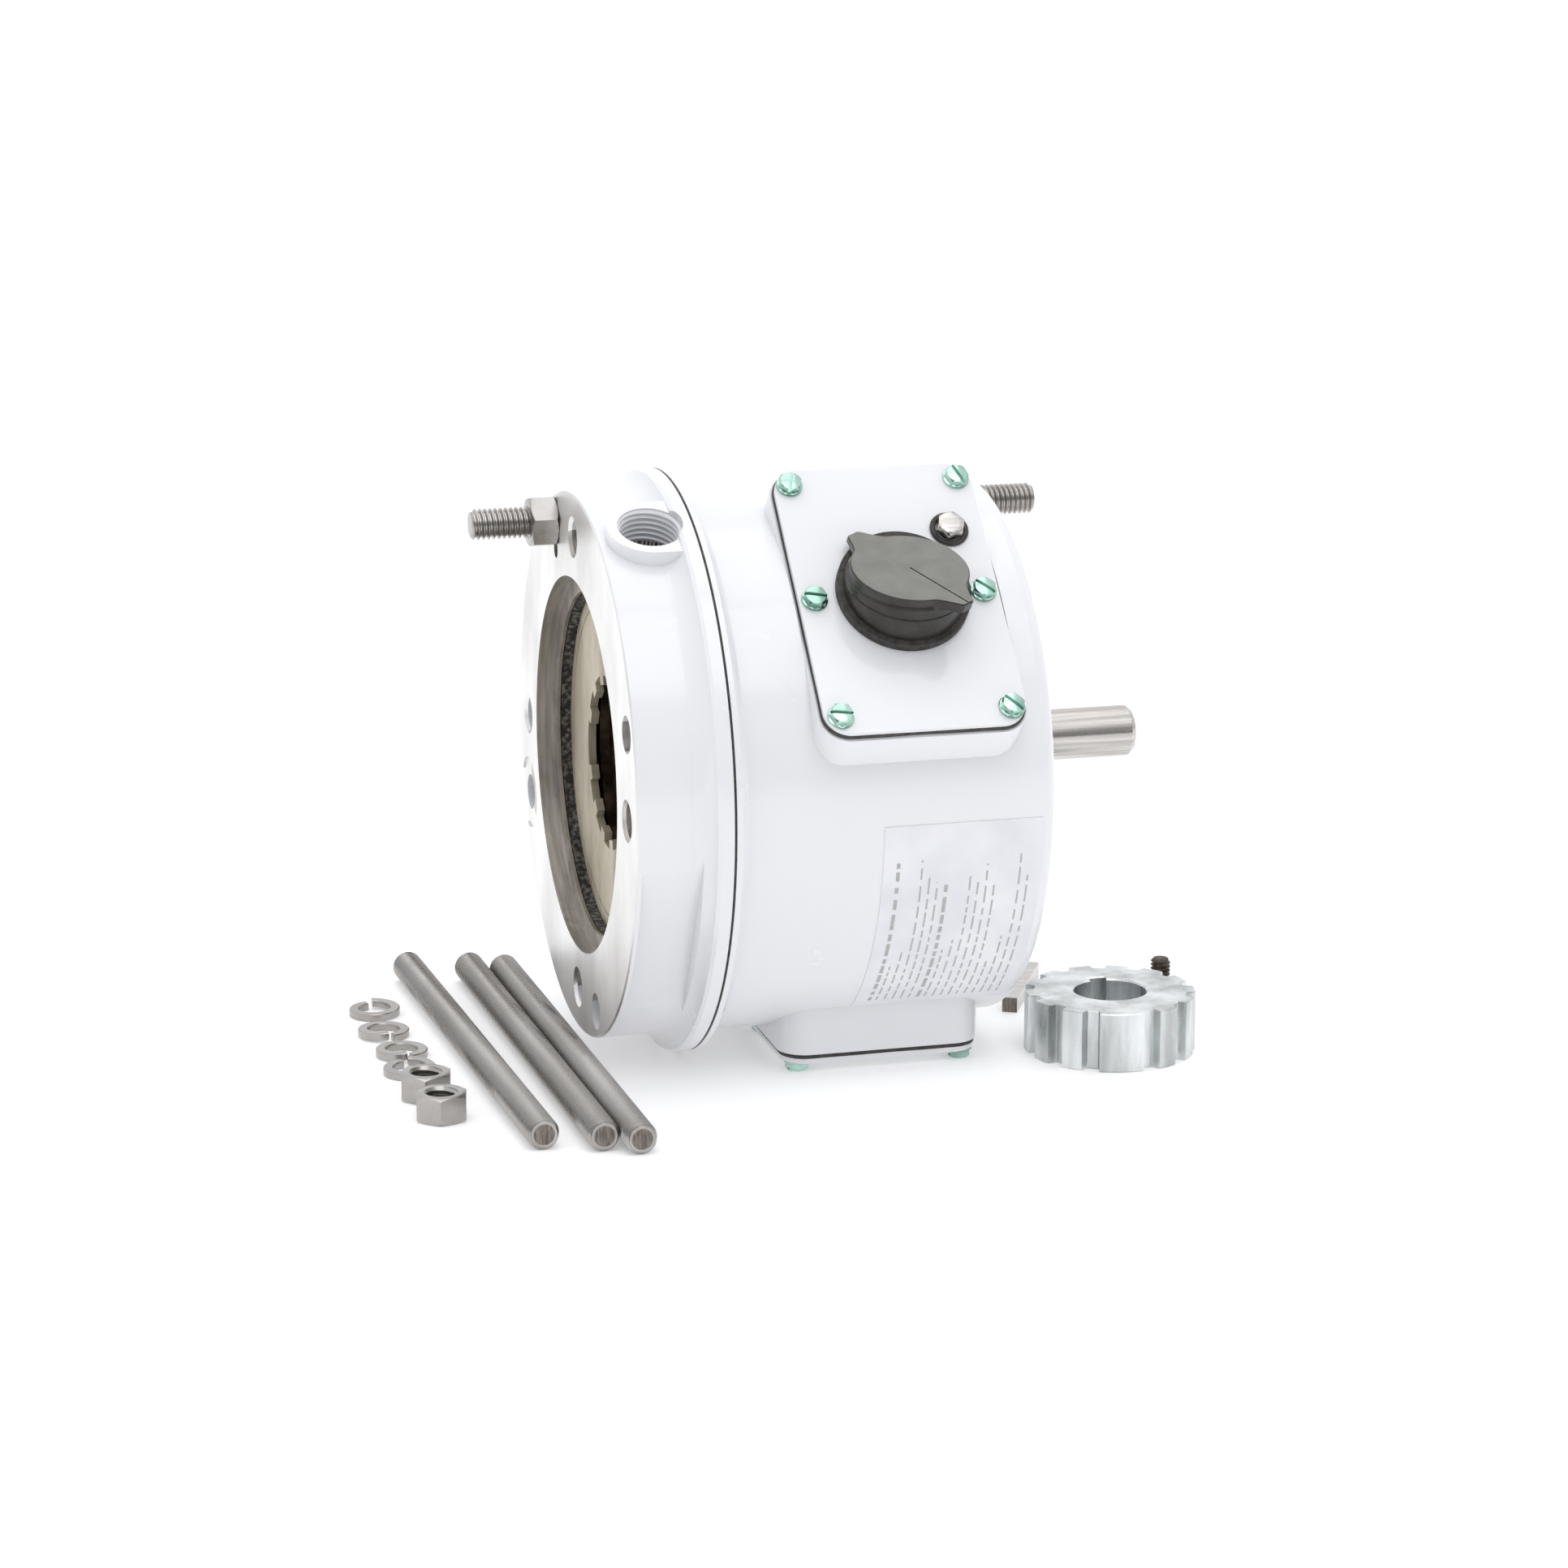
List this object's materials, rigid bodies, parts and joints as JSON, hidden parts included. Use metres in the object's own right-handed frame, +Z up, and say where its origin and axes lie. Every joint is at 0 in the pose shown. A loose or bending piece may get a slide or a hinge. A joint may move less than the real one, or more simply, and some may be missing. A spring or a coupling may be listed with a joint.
{
  "type": "electromagnetic clutch",
  "caption": "Spring-set disc clutch-brake with solenoid release, between a C-face motor and a reducer, with release knob and loose fitting kit.",
  "frame": {"origin": "centre of the motor-side mounting face", "axes": "+X along the shaft towards the output side, +Z up, +Y to the back"},
  "size_m": [0.2633, 0.1945, 0.1809],
  "materials": {
    "white_paint": "gloss washdown paint over an aluminium casting",
    "black_rubber": "matt rubber",
    "zinc_screws": "green-tinted zinc plate",
    "bright_steel": "ground and polished",
    "knob_plastic": "moulded, satin",
    "steel": "plain machined",
    "disc_steel": "ground, lightly tanned",
    "friction_material": "granular moulded friction material",
    "cast_iron": "machined, slight rust tint",
    "spring_steel": "oil-tempered",
    "lamination": "stacked sheet",
    "coil_resin": "cast resin",
    "stainless": "rolled thread, bright",
    "label_film": null,
    "zinc_hub": "bluish zinc plate",
    "black_oxide": "dark oxide"
  },
  "bodies": {
    "root": {"end_plate": "white_paint", "seam_gasket": "black_rubber", "housing": "white_paint", "front_cover": "white_paint", "front_cover_gasket": "black_rubber", "front_cover_screws": "zinc_screws", "bottom_cover": "white_paint", "bottom_cover_gasket": "black_rubber", "bottom_cover_screws": "zinc_screws", "inspection_plug": "bright_steel", "plug_washer": "black_rubber", "knob_seal": "black_rubber", "wear_plate": "steel", "guide_pins": "steel", "pressure_springs": "spring_steel", "support_plate": "cast_iron", "support_plate_screws": "zinc_screws", "lever_bracket": "steel", "lever_pin": "bright_steel", "solenoid_frame": "lamination", "solenoid_coil": "coil_resin", "solenoid_bracket": "steel", "solenoid_bracket_screws": "zinc_screws", "bearing_outer_races": "bright_steel", "housing_snap_ring": "spring_steel", "shaft_seal": "black_rubber", "through_stud": "stainless", "stud_nut": "stainless", "rating_label": "label_film", "motor_hub": "zinc_hub", "hub_set_screw": "black_oxide", "loose_key": "bright_steel", "loose_studs": "stainless", "loose_lock_washers": "stainless", "loose_nuts": "stainless"},
    "output_shaft": {"output_shaft": "bright_steel", "spline_cup": "cast_iron", "bearing_inner_races": "bright_steel", "bearing_spacer": "steel", "shaft_snap_ring": "spring_steel"},
    "bearing_balls": {"bearing_balls": "bright_steel", "bearing_cages": "spring_steel"},
    "friction_disc": {"friction_disc": "disc_steel", "friction_linings": "friction_material"},
    "pressure_plate": {"pressure_plate": "cast_iron", "release_rod": "steel"},
    "release_lever": {"release_lever": "cast_iron"},
    "solenoid_plunger": {"solenoid_plunger": "lamination"},
    "release_knob": {"release_knob": "knob_plastic", "cam_spindle": "steel"}
  },
  "joints": [
    {"name": "shaft_spin", "type": "hinge", "parent": "root", "child": "output_shaft", "pos_m": [0.1, 0, 0], "axis": [1, 0, 0], "continuous": true},
    {"name": "balls_orbit", "type": "hinge", "parent": "root", "child": "bearing_balls", "pos_m": [0.1, 0, 0], "axis": [1, 0, 0], "continuous": true},
    {"name": "disc_float", "type": "slide", "parent": "output_shaft", "child": "friction_disc", "axis": [1, 0, 0], "range_m": [0, 0.00041]},
    {"name": "plate_release", "type": "slide", "parent": "root", "child": "pressure_plate", "axis": [1, 0, 0], "range_m": [0, 0.00081], "deforming": ["pressure_springs"]},
    {"name": "lever_swing", "type": "hinge", "parent": "root", "child": "release_lever", "pos_m": [0.059, 0, -0.038], "axis": [0, -1, 0], "range_deg": [0, 3.3]},
    {"name": "plunger_travel", "type": "slide", "parent": "root", "child": "solenoid_plunger", "axis": [-1, 0, 0], "range_m": [0, 0.005]},
    {"name": "knob_turn", "type": "hinge", "parent": "root", "child": "release_knob", "pos_m": [0.08495, -0.05918, 0.05989], "axis": [0, -0.7071, 0.7071], "range_deg": [-90, 0]}
  ],
  "couplings": [
    {"joint": "balls_orbit", "follows": "shaft_spin", "ratio": 0.38},
    {"joint": "lever_swing", "follows": "plunger_travel", "rad_per_m": 11.494},
    {"joint": "plate_release", "follows": "plunger_travel", "ratio": 0.16092},
    {"joint": "disc_float", "follows": "plunger_travel", "ratio": 0.08046}
  ]
}
